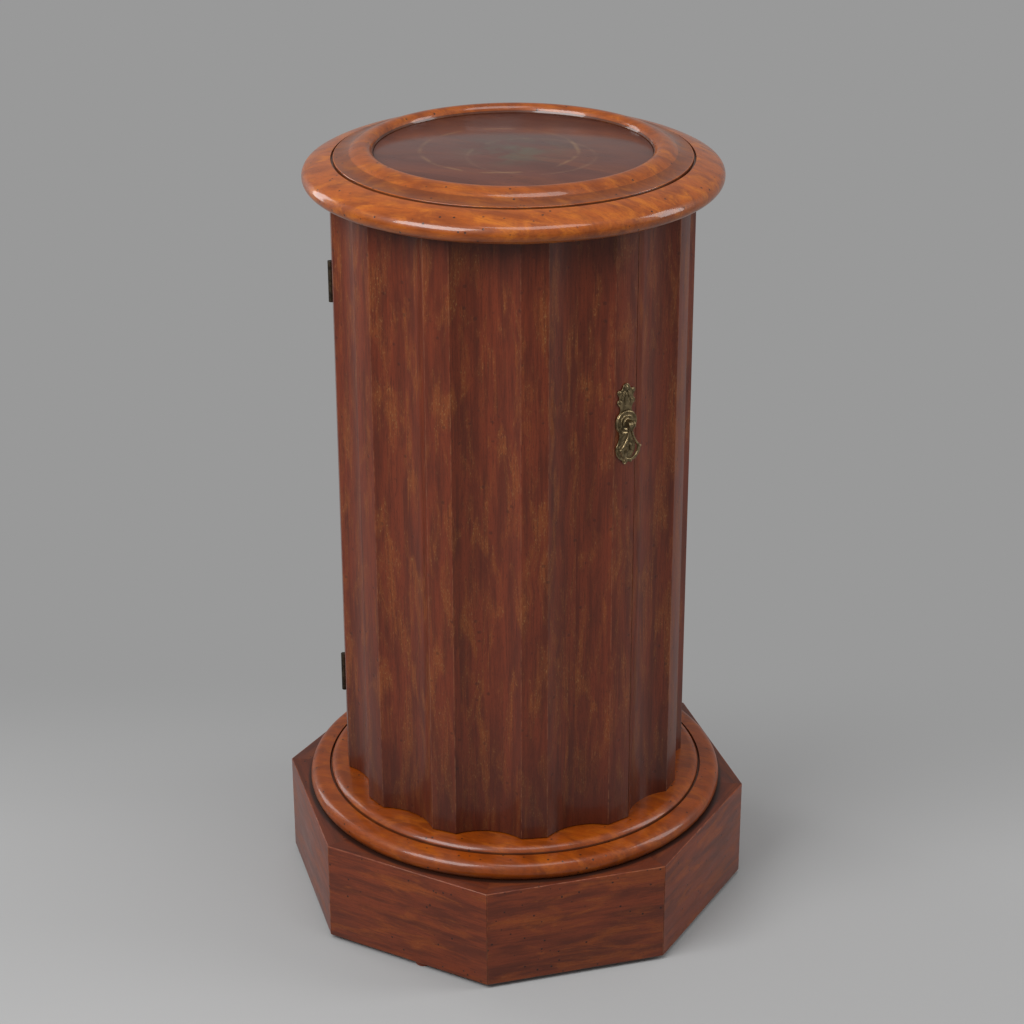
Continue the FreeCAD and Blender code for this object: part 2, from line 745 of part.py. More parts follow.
pin_bore = solid("Cylinder", -(fork_half + OVERRUN), pin_line, handle_level, ONWARD,
                 Radius=size("cross_pin_radius") + size("cross_pin_clearance"), Height=(fork_half + OVERRUN) * 2)
fork = cut(fuse(fork, fork_neck), fork_slot, pin_bore)
keep(turned(fuse(shank, fork_base, fork), handle_turn), "handle_post")

cross_pin = solid("Cylinder", -fork_half, pin_line, handle_level, ONWARD,
                  Radius=size("cross_pin_radius"), Height=fork_half * 2)
keep(turned(group([cross_pin]), handle_turn), "handle_cross_pin")



def taper(back, thickness, foot, half_foot, head, half_head):
    """An upright plate whose width tapers from its foot to its head."""
    plate = doc.addObject("Part::Wedge", "taper")
    plate.Placement = FreeCAD.Placement(FreeCAD.Vector(), OUTWARD)
    bind(plate, {"Xmin": -half_foot, "Xmax": half_foot, "X2min": -half_head, "X2max": half_head,
                 "Ymin": 0, "Ymax": head - foot, "Zmin": 0, "Zmax": thickness, "Z2min": 0, "Z2max": thickness})
    move(plate, 0, back, foot)
    return plate


def pear(back, thickness, centre, radius, tip, tip_radius):
    """A round disc drawn up to a smaller round tip by its two tangents."""
    slope = (radius - tip_radius) / (tip - centre)
    spread = root(as_size(1) - slope * slope)
    return [disc(0, centre, back, thickness, radius),
            taper(back, thickness, centre + radius * slope, radius * spread,
                  tip + tip_radius * slope, tip_radius * spread)]


drop_back = pin_line + size("drop_board") / 2
drop_level = handle_level - size("drop_length") + size("drop_radius")
loop = cut(fuse(*pear(drop_back, size("drop_board"), drop_level, size("drop_radius"), handle_level,
                      size("eye_radius"))),
           fuse(*pear(drop_back + OVERRUN, size("drop_board") + OVERRUN * 2, drop_level,
                      size("drop_radius") - size("drop_rim"), handle_level - size("loop_tip"),
                      size("loop_tip_radius"))))
eye = solid("Cylinder", -(size("eye_width") / 2), pin_line, handle_level, ONWARD,
            Radius=size("eye_radius"), Height=size("eye_width"))
fork_room = solid("Box", -(fork_half + OVERRUN), pin_line - size("eye_radius"),
                  handle_level - size("fork_radius") - size("fork_gap"),
                  Length=fork_half + OVERRUN - size("eye_width") / 2, Width=size("eye_radius") * 2,
                  Height=(size("fork_radius") + size("fork_gap")) * 2)
other_room = solid("Box", size("eye_width") / 2, pin_line - size("eye_radius"),
                   handle_level - size("fork_radius") - size("fork_gap"),
                   Length=fork_half + OVERRUN - size("eye_width") / 2, Width=size("eye_radius") * 2,
                   Height=(size("fork_radius") + size("fork_gap")) * 2)
drop = fuse(cut(loop, fork_room, other_room), eye)
keep(turned(cut(drop, pin_bore), handle_turn), "handle_drop")
door_staves[-1] = cut(door_staves[-1], turned(group([post_hole]), handle_turn))

for number, stave in enumerate(door_staves, start=1):
    keep(stave, f"door_stave_{number}")
for number, stave in enumerate(carcass_staves, start=1):
    keep(stave, f"carcass_stave_{number}")

# Boards inside: the bottom, a shelf on three battens, the carcass top, and a stop for the door

board_radius = size("column_bore") - BOARD_GAP
top_board_foot = top_foot - size("carcass_top_board")
keep(solid("Cylinder", 0, 0, column_foot, Radius=board_radius, Height=size("bottom_board")),
     "bottom_board")

stop_foot = column_foot + size("bottom_board")
stop_face = -root(board_radius * board_radius - size("stop_width") * size("stop_width"))
stop_height = top_board_foot - stop_foot
stop = solid("Box", -size("stop_overlap"), stop_face, stop_foot,
             Length=size("stop_width"), Width=size("stop_depth"), Height=stop_height)
keep(turned(group([stop]), catch_turn), "door_stop")

shelf_level = column_foot + size("column_height") / 2
shelf = solid("Cylinder", 0, 0, shelf_level, Radius=board_radius, Height=size("shelf_board"))
stop_notch = solid("Box", -(size("stop_overlap") + BOARD_GAP), stop_face - OVERRUN, shelf_level - OVERRUN,
                   Length=size("stop_width") + BOARD_GAP * 2, Width=size("stop_depth") + BOARD_GAP + OVERRUN,
                   Height=size("shelf_board") + OVERRUN * 2)
keep(cut(shelf, turned(group([stop_notch]), catch_turn)), "shelf")

batten_foot = shelf_level - size("batten_height")
battens = []
for middle_angle in BATTEN_PLACES:
    wedge = sector(board_radius, batten_foot, size("batten_height"),
                   middle_angle - size("batten_angle").value / 2, size("batten_angle"))
    inside = solid("Cylinder", 0, 0, batten_foot - OVERRUN, Radius=board_radius - size("batten_depth"),
                   Height=size("batten_height") + OVERRUN * 2)
    battens.append(cut(wedge, inside))
keep(group(battens), "shelf_battens")

carcass_lid = size("carcass_top_board")
top_screws = screw_ring(size("top_screw_circle"), top_board_foot, carcass_lid)
top_holes = screw_ring(size("top_screw_circle"), top_board_foot, carcass_lid, size("screw_clearance"))
carcass_top = solid("Cylinder", 0, 0, top_board_foot, Radius=board_radius, Height=carcass_lid)
keep(cut(carcass_top, top_holes), "carcass_top")
keep(top_screws, "top_screws")

# Top ring: turned, with a half-round nose, a sunk quirk, a shallow cove and a raised bead round the panel

panel_radius = size("bead_radius") - size("bead_half_width")
panel_level = size("top_height") - size("panel_drop")
ledge = panel_level - size("panel_board")
bead_top = top_foot + size("top_height")
quirk_share = 0.46
bead_foot = bead_top - size("bead_drop")
bead_curve = ((size("bead_half_width") * size("bead_half_width") + size("bead_drop") * size("bead_drop"))
              / (size("bead_drop") * 2))
nose_end = size("top_radius") - size("top_nose_end_inset")
bead_edge = size("bead_radius") + size("bead_half_width")
quirk = bead_edge + (nose_end - bead_edge) * quirk_share
quirk_level = top_foot + size("top_quirk_height")
ring = turning("top_ring_blank", [
    (panel_radius - size("panel_ledge"), top_foot),
    (size("top_radius") - size("top_nose"), top_foot),
    (size("top_radius"), top_foot + size("top_nose"), size("top_nose"), RIGHT),
    (nose_end, top_foot + size("top_shoulder_height"), size("top_nose"), RIGHT),
    (quirk, quirk_level, size("top_shoulder_curve"), RIGHT),
    (quirk - quirk_width / 2, quirk_level - size("quirk_depth")),
    (quirk - quirk_width, quirk_level + size("quirk_lip")),
    (bead_edge, bead_foot, size("cove_curve"), LEFT),
    (size("bead_radius"), bead_top, bead_curve, RIGHT),
    (panel_radius, bead_foot, bead_curve, RIGHT),
    (panel_radius, top_foot + ledge),
    (panel_radius - size("panel_ledge"), top_foot + ledge),
])
pieces.remove(ring)
keep(cut(ring, top_holes), "top_ring")

keep(solid("Cylinder", 0, 0, top_foot + ledge, Radius=panel_radius - size("panel_gap"),
           Height=size("panel_board")), "top_panel")

# Check every object and sub-part, then write each sub-part to its own file

doc.recompute()
for thing in doc.Objects:
    if "Invalid" in thing.State or "Error" in thing.State:
        raise RuntimeError(f"{thing.Name} ({thing.Label}) did not build: {thing.State}")
for piece in pieces:
    if piece.Shape.isNull() or not piece.Shape.isValid():
        raise RuntimeError(f"{piece.Label} is not a valid shape")

os.makedirs("parts", exist_ok=True)
for piece in pieces:
    piece.Shape.exportStep(f"parts/{piece.Label}.step")
    bounds = piece.Shape.BoundBox
    print(f"{piece.Label}: {len(piece.Shape.Solids)} solids, volume {piece.Shape.Volume:.0f}, "
          f"{bounds.XLength:.1f} x {bounds.YLength:.1f} x {bounds.ZLength:.1f}")
print(len(pieces), "sub-parts")
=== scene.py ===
import math

import bmesh
import bpy
from mathutils import Matrix, Vector


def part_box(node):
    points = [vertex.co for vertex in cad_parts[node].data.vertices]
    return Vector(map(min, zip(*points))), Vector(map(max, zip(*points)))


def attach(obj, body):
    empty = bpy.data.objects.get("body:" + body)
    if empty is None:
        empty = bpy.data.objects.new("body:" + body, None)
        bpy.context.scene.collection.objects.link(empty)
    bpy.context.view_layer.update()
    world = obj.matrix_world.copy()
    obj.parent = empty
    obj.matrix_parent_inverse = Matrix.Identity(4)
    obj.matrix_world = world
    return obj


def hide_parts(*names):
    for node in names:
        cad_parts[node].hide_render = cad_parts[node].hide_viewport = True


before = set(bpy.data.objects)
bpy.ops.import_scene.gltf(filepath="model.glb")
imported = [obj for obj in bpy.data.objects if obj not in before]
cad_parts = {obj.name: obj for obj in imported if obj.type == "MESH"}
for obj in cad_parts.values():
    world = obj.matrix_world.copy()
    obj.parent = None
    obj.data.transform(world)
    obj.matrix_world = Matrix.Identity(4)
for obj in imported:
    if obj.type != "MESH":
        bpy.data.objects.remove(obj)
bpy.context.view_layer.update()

# The view: a long lens that looks down on the cupboard from its front right, as it was photographed. The lens
# was worked out from the two turned rings, which show as ellipses, and from the corners of the plinth.
FOCAL_MM = 87.86
SENSOR_MM = 36.0
VIEW_TURN = math.radians(23.77)
VIEW_PITCH = math.radians(24.36)
VIEW_ROLL = math.radians(0.16)
VIEW_DISTANCE = 2.1813
VIEW_HEIGHT = 1.3772
VIEW_ASIDE = -0.0021

turn = Matrix.Rotation(VIEW_TURN, 4, "Z")
camera_data = bpy.data.cameras.new("camera")
camera_data.sensor_width = SENSOR_MM
camera_data.lens = FOCAL_MM
camera = bpy.data.objects.new("camera", camera_data)
place = turn @ Matrix.Translation((VIEW_ASIDE, -VIEW_DISTANCE, VIEW_HEIGHT))
tilt = Matrix.Rotation(math.pi / 2 - VIEW_PITCH, 4, "X")
camera.matrix_world = place @ tilt @ Matrix.Rotation(-VIEW_ROLL, 4, "Z")
bpy.context.scene.collection.objects.link(camera)
bpy.context.scene.camera = camera
bpy.context.scene.view_settings.view_transform = "Standard"


# The studio: a flat grey backdrop, a floor that fades into it, and four soft boxes. The largest stands at the
# left and lights the front, two tall ones brush the column's sides, and one hangs overhead.
def linear(colour):
    """An sRGB hex colour as the linear values that a shader takes."""
    shares = [int(colour[place:place + 2], 16) / 255 for place in (1, 3, 5)]
    return [*(share / 12.92 if share <= 0.04045 else ((share + 0.055) / 1.055) ** 2.4
              for share in shares), 1.0]


def add(tree, kind, settings=(), **links):
    """A node with its settings, and its inputs set or linked by name (spaces as _) or by number (i0, i1)."""
    node = tree.nodes.new("ShaderNode" + kind)
    for name, setting in dict(settings).items():
        setattr(node, name, setting)
    for name, source in links.items():
        numbered = name[0] == "i" and name[1:].isdigit()
        socket = node.inputs[int(name[1:]) if numbered else name.replace("_", " ")]
        if isinstance(source, bpy.types.NodeSocket):
            tree.links.new(source, socket)
        else:
            socket.default_value = source
    return node


def new_material(name):
    """An empty node material and its tree."""
    made = bpy.data.materials.new(name)
    made.use_nodes = True
    made.node_tree.nodes.clear()
    return made, made.node_tree


def seen_rays(tree):
    """Whether a ray comes from the lens or from a gloss, and so sees the backdrop's own grey."""
    rays = add(tree, "LightPath")
    return add(tree, "Math", {"operation": "MAXIMUM"}, i0=rays.outputs["Is Camera Ray"],
               i1=rays.outputs["Is Glossy Ray"]).outputs[0]


BACKDROP = "#999999"
FLOOR = "#929292"
FLOOR_HALF = 6.0
FADE_NEAR = 0.02
FADE_FAR = 0.42
SKY_LIGHT = 0.5

world = bpy.data.worlds.new("studio")
bpy.context.scene.world = world
world.use_nodes = True
sky = world.node_tree
sky.nodes.clear()
lit = add(sky, "Background", Color=linear("#ffffff"), Strength=SKY_LIGHT)
shown = add(sky, "Background", Color=linear(BACKDROP), Strength=1.0)
both = add(sky, "MixShader", i0=seen_rays(sky), i1=lit.outputs[0], i2=shown.outputs[0])
add(sky, "OutputWorld", Surface=both.outputs[0])

floor_finish, tree = new_material("studio_floor")
where = add(tree, "TexCoord")
onward = (-math.sin(VIEW_TURN), math.cos(VIEW_TURN), 0)
reach = add(tree, "VectorMath", {"operation": "DOT_PRODUCT"}, i0=where.outputs["Object"], i1=onward)
fade = add(tree, "MapRange", {"interpolation_type": "SMOOTHSTEP"}, Value=reach.outputs["Value"],
           From_Min=FADE_NEAR, From_Max=FADE_FAR)
matt = add(tree, "BsdfDiffuse", Color=linear(FLOOR))
flat = add(tree, "Emission", Color=linear(BACKDROP), Strength=seen_rays(tree))
ground = add(tree, "MixShader", i0=fade.outputs[0], i1=matt.outputs[0], i2=flat.outputs[0])
add(tree, "OutputMaterial", Surface=ground.outputs[0])
floor_mesh = bmesh.new()
bmesh.ops.create_grid(floor_mesh, x_segments=1, y_segments=1, size=FLOOR_HALF)
floor_data = bpy.data.meshes.new("floor")
floor_mesh.to_mesh(floor_data)
floor_mesh.free()
floor = bpy.data.objects.new("floor", floor_data)
floor_data.materials.append(floor_finish)
bpy.context.scene.collection.objects.link(floor)

# Each soft box: bearing from the lens and rise in degrees, distance and two sides in metres, power in watts.
SOFT_BOXES = {
    "left_box": (-47, 41, 2.1, 1.3, 1.1, 48),
    "side_box": (-122, 14, 2.2, 0.5, 1.4, 11),
    "right_box": (88, 22, 2.2, 0.7, 1.6, 21),
    "top_box": (30, 74, 2.0, 1.0, 1.0, 14),
}
AIM = Vector((0, 0, 0.5))
for name, (bearing, rise, away, wide, tall, power) in SOFT_BOXES.items():
    box_light = bpy.data.lights.new(name, "AREA")
    box_light.shape = "RECTANGLE"
    box_light.size = wide
    box_light.size_y = tall
    box_light.energy = power
    lamp = bpy.data.objects.new(name, box_light)
    swing = Matrix.Rotation(VIEW_TURN + math.radians(bearing), 4, "Z")
    lift = Matrix.Rotation(-math.radians(rise), 4, "X")
    lamp.matrix_world = Matrix.Translation(AIM) @ swing @ lift @ Matrix.Translation((0, -away, 0)) \
        @ Matrix.Rotation(math.pi / 2, 4, "X")
    bpy.context.scene.collection.objects.link(lamp)


# The fluted column: twelve coopered staves of mahogany, planed to flat lands and hollowed with round flutes,
# glued edge to edge in the flutes. Five make the curved door and seven the fixed carcass.
MM = 0.001
WELD = 0.001 * MM
SHARP_BEND = math.radians(32)
COLUMN_RADIUS = 166.7 * MM
COLUMN_BORE = 143.0 * MM
LAND_HALF = math.radians(4.22)
FLUTE_RADIUS = 53.0 * MM
FLUTE_PITCH = math.radians(30)
SEAM_HALF = 0.45 * MM
ARRIS_ROUND = 0.55 * MM
ARRIS_BEND = math.radians(10)
RIM_BEND = math.radians(65)
ARRIS_AIM = math.radians(0.05)
WALL_SPARE = 5 * MM
FLUTE_STEPS = 20


def polar(radius, angle, height=0.0):
    """The point at a radius and an angle from -Y towards +X."""
    return Vector((radius * math.sin(angle), -radius * math.cos(angle), height))


def pen_line(bm, tip, target):
    """Extends a chain of edges from its tip in a straight line."""
    grown = bmesh.ops.extrude_vert_indiv(bm, verts=[tip])["verts"][0]
    grown.co = target
    return grown


def pen_arc(bm, tip, target, radius, side, axis, steps):
    """Extends a chain of edges along an arc, bulging to the left (1) or right (-1) seen along -axis."""
    start = tip.co.copy()
    chord = target - start
    across = axis.cross(chord).normalized() * side
    centre = (start + target) / 2 - across * math.sqrt(radius ** 2 - chord.length_squared / 4)
    before = start - centre
    after = target - centre
    angle = math.atan2(axis.dot(before.cross(after)), before.dot(after))
    spun = bmesh.ops.spin(bm, geom=[tip], cent=centre, axis=axis, angle=angle, steps=steps,
                          use_merge=False, use_duplicate=False)
    last = [item for item in spun["geom_last"] if isinstance(item, bmesh.types.BMVert)][0]
    if (last.co - target).length > 10 * WELD:
        raise RuntimeError("an arc missed its end")
    last.co = target
    return last


def finished(bm, name, material, body, slot, *nodes):
    """Makes the piece from its mesh, smooth but for its sharp edges, and fixes it to its body."""
    bmesh.ops.remove_doubles(bm, verts=bm.verts, dist=WELD)
    bmesh.ops.recalc_face_normals(bm, faces=bm.faces)
    for face in bm.faces:
        face.smooth = True
    data = bpy.data.meshes.new(name)
    bm.to_mesh(data)
    bm.free()
    data.set_sharp_from_angle(angle=SHARP_BEND)
    data.materials.append(material)
    piece = bpy.data.objects.new(name, data)
    bpy.context.scene.collection.objects.link(piece)
    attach(piece, body)
    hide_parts(*nodes)


flute_edge = FLUTE_PITCH / 2 - LAND_HALF
flute_centre = (COLUMN_RADIUS * math.cos(flute_edge)
                + math.sqrt(FLUTE_RADIUS ** 2 - (COLUMN_RADIUS * math.sin(flute_edge)) ** 2))
land_face = COLUMN_RADIUS * math.cos(LAND_HALF)


def rim(angle):
    """The point of the fluted outside at an angle."""
    land = round(angle / FLUTE_PITCH) * FLUTE_PITCH
    if abs(angle - land) <= LAND_HALF:
        return polar(land_face / math.cos(angle - land), angle)
    flute = (math.floor(angle / FLUTE_PITCH) + 0.5) * FLUTE_PITCH
    off = angle - flute
    reach = flute_centre * math.cos(off)
    return polar(reach - math.sqrt(FLUTE_RADIUS ** 2 - (flute_centre * math.sin(off)) ** 2), angle)


def stave(first, last, low, high, round_first, round_last):
    """One stave between two angles: its section drawn on the floor plane, filled, then drawn up."""
    bm = bmesh.new()
    upward = Vector((0, 0, 1))
    tip = bmesh.ops.create_vert(bm, co=polar(COLUMN_BORE, first))["vert"][0]
    opening = tip
    tip = pen_line(bm, tip, rim(first))
    lands = range(math.floor(first / FLUTE_PITCH), math.ceil(last / FLUTE_PITCH) + 1)
    corners = sorted(land * FLUTE_PITCH + edge for land in lands for edge in (-LAND_HALF, LAND_HALF))
    stops = [first, *(corner for corner in corners if first < corner < last), last]
    for start, end in zip(stops, stops[1:]):
        middle = (start + end) / 2
        on_land = abs(middle - round(middle / FLUTE_PITCH) * FLUTE_PITCH) < LAND_HALF
        if on_land:
            tip = pen_line(bm, tip, rim(end))
        else:
            steps = max(2, round(FLUTE_STEPS * (end - start) / FLUTE_PITCH))
            tip = pen_arc(bm, tip, rim(end), FLUTE_RADIUS, 1, upward, steps)
    tip = pen_line(bm, tip, polar(COLUMN_BORE, last))
    steps = max(2, round(FLUTE_STEPS * (last - first) / FLUTE_PITCH))
    pen_arc(bm, tip, opening.co.copy(), COLUMN_BORE, 1, upward, steps)
    bmesh.ops.remove_doubles(bm, verts=bm.verts, dist=WELD)
    section = bmesh.ops.contextual_create(bm, geom=bm.edges)["faces"]
    bmesh.ops.translate(bm, verts=bm.verts, vec=(0, 0, low))
    drawn = bmesh.ops.extrude_face_region(bm, geom=section)["geom"]
    top = [item for item in drawn if isinstance(item, bmesh.types.BMVert)]
    bmesh.ops.translate(bm, verts=top, vec=(0, 0, high - low))
    bmesh.ops.recalc_face_normals(bm, faces=bm.faces)
    arrises = []
    for edge in bm.edges:
        ends = [vert.co for vert in edge.verts]
        upright = abs(ends[0].z - ends[1].z) > MM
        bend = edge.calc_face_angle(0)
        if not upright or bend < ARRIS_BEND:
            continue
        outside = ends[0].xy.length > COLUMN_BORE + MM
        angle = math.atan2(ends[0].x, -ends[0].y)
        at_first = abs(math.remainder(angle - first, math.tau)) < ARRIS_AIM
        at_last = abs(math.remainder(angle - last, math.tau)) < ARRIS_AIM
        if outside and (at_first and not round_first or at_last and not round_last):
            continue
        arrises.append(edge)
    worn = bm.faces.layers.float.new("wear")
    rounded = bmesh.ops.bevel(bm, geom=arrises, offset=ARRIS_ROUND, offset_type="OFFSET", segments=3,
                              profile=0.5, affect="EDGES", material=-1, clamp_overlap=True)
    for face in rounded["faces"]:
        if face.calc_center_median().xy.length > COLUMN_BORE + WALL_SPARE:
            face[worn] = 1.0
    return bm


# Waxed mahogany: dense reddish-brown wood with straight grain and short dark pores. It turns golden where the
# polish has thinned, with a low soft gloss. Dents show near black, and corners are rubbed paler.
def noise(tree, place, across, along, detail=4.0, rough=0.6, wander=0.3):
    """Noise whose cells measure across and along the grain in millimetres."""
    cells = (1 / (across * MM), 1 / (across * MM), 1 / (along * MM))
    spread = add(tree, "Mapping", Vector=place, Scale=cells)
    return add(tree, "TexNoise", {"noise_dimensions": "3D"}, Vector=spread.outputs[0], Scale=1.0,
               Detail=detail, Roughness=rough, Distortion=wander).outputs["Fac"]


def ramp(tree, value, low, high, share=1.0):
    """How far a value has gone from low to high, times a share."""
    return add(tree, "MapRange", {"interpolation_type": "SMOOTHSTEP"}, Value=value, From_Min=low,
               From_Max=high, To_Max=share).outputs[0]


def blend(tree, amount, under, over):
    """One colour laid over another."""
    ends = [linear(colour) if isinstance(colour, str) else colour for colour in (under, over)]
    return add(tree, "Mix", {"data_type": "RGBA"}, Factor=amount, i6=ends[0], i7=ends[1]).outputs[2]


def times(tree, left, right):
    """The product of two values."""
    return add(tree, "Math", {"operation": "MULTIPLY"}, i0=left, i1=right).outputs[0]


# The grain's lines, the pores and the pale flecks in the polish: their width and length in millimetres. Real
# pores are about a fifth as wide, too fine to show, so they are drawn as coarse as they need to be.
UPRIGHT_GRAIN = (0, 0, 0)
LEVEL_GRAIN = (0, math.pi / 2, 0)
GRAIN_MM = (1.6, 42)
PORE_MM = (0.55, 5.5)
FLECK_MM = (1.0, 3.0)
DENT_CLUSTER_MM = 21
RUBBED_MM = 9
RELIEF_MM = 0.05
DENT_SINK = -6.0
BOARD_SHIFT = (0.37, 0.61, 1.13)
FLECK = "#8f683f"
DENT = "#1d0e09"
# The dark brown of painted shade in recesses, and of grime.
SHADE_AND_GRIME_BROWN = "#2a130b"
RUBBED = "#845439"
RUBBED_SHARE = 0.4
WAX_GLEAM = 0.25


def mahogany(name, ground, dark, gold, grain_turn=LEVEL_GRAIN, cloud=(38, 150), cloud_share=0.8,
             patch=(34, 90), patch_share=0.5, grain_share=0.35, pore_share=0.5, dent_mm=13.0,
             dent_share=0.9, fleck_share=0.5, gloss=0.38, coat=0.3, coat_rough=0.2, marks=None):
    """One finish of mahogany: three browns, the grain's direction and spacing, and how the polish shines."""
    made, tree = new_material(name)
    place = add(tree, "TexCoord").outputs["Object"]
    board = add(tree, "Attribute", {"attribute_name": "board"})
    aim = add(tree, "Attribute", {"attribute_name": "aim"})
    shift = add(tree, "VectorMath", {"operation": "SCALE"}, i0=BOARD_SHIFT, Scale=board.outputs["Fac"])
    faced = add(tree, "VectorRotate", {"rotation_type": "Z_AXIS"}, Vector=place, Angle=aim.outputs["Fac"])
    moved = add(tree, "VectorMath", {"operation": "ADD"}, i0=faced.outputs[0], i1=shift.outputs[0])
    turned = add(tree, "Mapping", Vector=moved.outputs[0], Rotation=grain_turn).outputs[0]
    clouds = noise(tree, turned, *cloud, detail=5.0)
    patches = noise(tree, turned, *patch, detail=5.0, wander=0.7)
    grain = noise(tree, turned, *GRAIN_MM, detail=4.0, wander=0.1)
    pores = noise(tree, turned, *PORE_MM, detail=2.0, wander=0.0)
    flecks = noise(tree, turned, *FLECK_MM, detail=3.0, wander=0.2)
    brown = blend(tree, ramp(tree, clouds, 0.38, 0.66, cloud_share), ground, dark)
    thin = ramp(tree, patches, 0.46, 0.70, patch_share)
    brown = blend(tree, thin, brown, gold)
    brown = blend(tree, ramp(tree, grain, 0.45, 0.75, grain_share), brown, dark)
    brown = blend(tree, ramp(tree, pores, 0.56, 0.70, pore_share), brown, dark)
    rare = ramp(tree, patches, 0.44, 0.66)
    brown = blend(tree, times(tree, ramp(tree, flecks, 0.56, 0.70, fleck_share), rare), brown, FLECK)
    spots = add(tree, "TexVoronoi", Vector=place, Scale=1 / (dent_mm * MM))
    kept = ramp(tree, noise(tree, place, DENT_CLUSTER_MM, DENT_CLUSTER_MM), 0.42, 0.5)
    far = ramp(tree, spots.outputs["Distance"], 0.08, 0.15)
    near = add(tree, "Math", {"operation": "SUBTRACT"}, i0=1.0, i1=far).outputs[0]
    dents = times(tree, near, kept)
    brown = blend(tree, times(tree, dents, dent_share), brown, DENT)
    if marks:
        brown = marks(tree, place, brown)
    # Painted shade in recesses, and some grime, on the bands that each piece marks.
    shade_and_grime = add(tree, "Attribute", {"attribute_name": "shade_and_grime"})
    brown = blend(tree, shade_and_grime.outputs["Fac"], brown, SHADE_AND_GRIME_BROWN)
    worn = add(tree, "Attribute", {"attribute_name": "wear"})
    where_rubbed = ramp(tree, noise(tree, place, RUBBED_MM, RUBBED_MM), 0.35, 0.7, RUBBED_SHARE)
    brown = blend(tree, times(tree, worn.outputs["Fac"], where_rubbed), brown, RUBBED)
    shine = add(tree, "MapRange", Value=patches, From_Min=0.3, From_Max=0.7, To_Min=gloss - 0.05,
                To_Max=gloss + 0.08)
    relief = add(tree, "Math", {"operation": "MULTIPLY_ADD"}, i0=dents, i1=DENT_SINK, i2=grain)
    relief = add(tree, "Math", {"operation": "ADD"}, i0=relief.outputs[0], i1=pores)
    bump = add(tree, "Bump", Height=relief.outputs[0], Strength=0.5, Distance=RELIEF_MM * MM)
    wood = add(tree, "BsdfPrincipled", Base_Color=brown, Roughness=shine.outputs[0], Normal=bump.outputs[0],
               Coat_Weight=coat, Coat_Roughness=coat_rough, Specular_IOR_Level=WAX_GLEAM)
    add(tree, "OutputMaterial", Surface=wood.outputs[0])
    return made


def number_board(bm, number, facing=0.0):
    """Marks a piece's faces with its board number and facing, so that each board has its own grain."""
    mark = bm.faces.layers.float.new("board")
    aim = bm.faces.layers.float.new("aim")
    for face in bm.faces:
        face[mark] = float(number)
        face[aim] = -facing


door_low, door_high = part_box("door_stave_3")
column_low, column_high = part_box("carcass_stave_4")
# How far and how strongly the column is darkened towards its foot, and painted with shadow under the top
# ring.
FOOT_DARK_REACH = 130 * MM
FOOT_DARK_SHARE = 0.5
HEAD_SHADOW_REACH = 60 * MM
HEAD_SHADOW_SHARE = 0.35
COLUMN_DARK_ENDS_BROWN = "#2b110b"
CARCASS_BOARDS = 20


def column_shadow_and_dark_foot(tree, place, brown):
    """Darkens the column towards its foot, and paints a shadow on its head under the top ring."""
    height = add(tree, "SeparateXYZ", Vector=place).outputs["Z"]
    clear = ramp(tree, height, column_low.z, column_low.z + FOOT_DARK_REACH, FOOT_DARK_SHARE)
    at_foot = add(tree, "Math", {"operation": "SUBTRACT"}, i0=FOOT_DARK_SHARE, i1=clear).outputs[0]
    at_head = ramp(tree, height, column_high.z - HEAD_SHADOW_REACH, column_high.z, HEAD_SHADOW_SHARE)
    both = add(tree, "Math", {"operation": "ADD"}, i0=at_foot, i1=at_head).outputs[0]
    return blend(tree, both, brown, COLUMN_DARK_ENDS_BROWN)


column_wood = mahogany("waxed_mahogany_column", "#652914", "#3f170b", "#7a4019", UPRIGHT_GRAIN,
                       cloud=(9, 90), cloud_share=0.6, patch=(13, 60), patch_share=0.6, grain_share=0.6,
                       pore_share=0.7, dent_mm=15.0, dent_share=0.35, coat=0.24, coat_rough=0.13,
                       marks=column_shadow_and_dark_foot)
door_half = 2 * FLUTE_PITCH + LAND_HALF
seam_angle = SEAM_HALF / COLUMN_RADIUS
joints = [FLUTE_PITCH * share for share in (-1.5, -0.5, 0.5, 1.5)]
door_edges = [-door_half + seam_angle, *joints, door_half - seam_angle]
for number, (first, last) in enumerate(zip(door_edges, door_edges[1:]), start=1):
    bm = stave(first, last, door_low.z, door_high.z, number == 1, number == len(door_edges) - 1)
    number_board(bm, number)
    finished(bm, f"door_board_{number}", column_wood, "door", "mahogany_column", f"door_stave_{number}")
joints = [FLUTE_PITCH * share for share in (3.5, 4.5, 5.5, 6.5, 7.5, 8.5)]
carcass_edges = [door_half + seam_angle, *joints, math.tau - door_half - seam_angle]
for number, (first, last) in enumerate(zip(carcass_edges, carcass_edges[1:]), start=1):
    bm = stave(first, last, column_low.z, column_high.z, number == 1, number == len(carcass_edges) - 1)
    number_board(bm, CARCASS_BOARDS + number)
    finished(bm, f"carcass_board_{number}", column_wood, "cabinet", "mahogany_column",
             f"carcass_stave_{number}")


# The top ring: turned from figured mahogany and French polished, bleached to gold by the light. It has a
# half-round nose, a sloping shoulder, a sunk quirk, a shallow cove and a raised bead round the panel.
FRONT = Vector((0, -1, 0))
TURNED_STEPS = 192
MOULDING_STEPS = 14
TOP_BOARD = 31


def closed_chain(bm, corners, steps):
    """A closed outline in the upright plane, from corners in millimetres (x, z, arc's radius and side)."""
    points = [Vector((corner[0], 0, corner[1])) * MM for corner in corners]
    tip = bmesh.ops.create_vert(bm, co=points[0])["vert"][0]
    for corner, target in zip([*corners[1:], corners[0]], [*points[1:], points[0]]):
        if len(corner) == 2:
            tip = pen_line(bm, tip, target)
        else:
            tip = pen_arc(bm, tip, target, corner[2] * MM, corner[3], FRONT, steps)
    bmesh.ops.remove_doubles(bm, verts=bm.verts, dist=WELD)


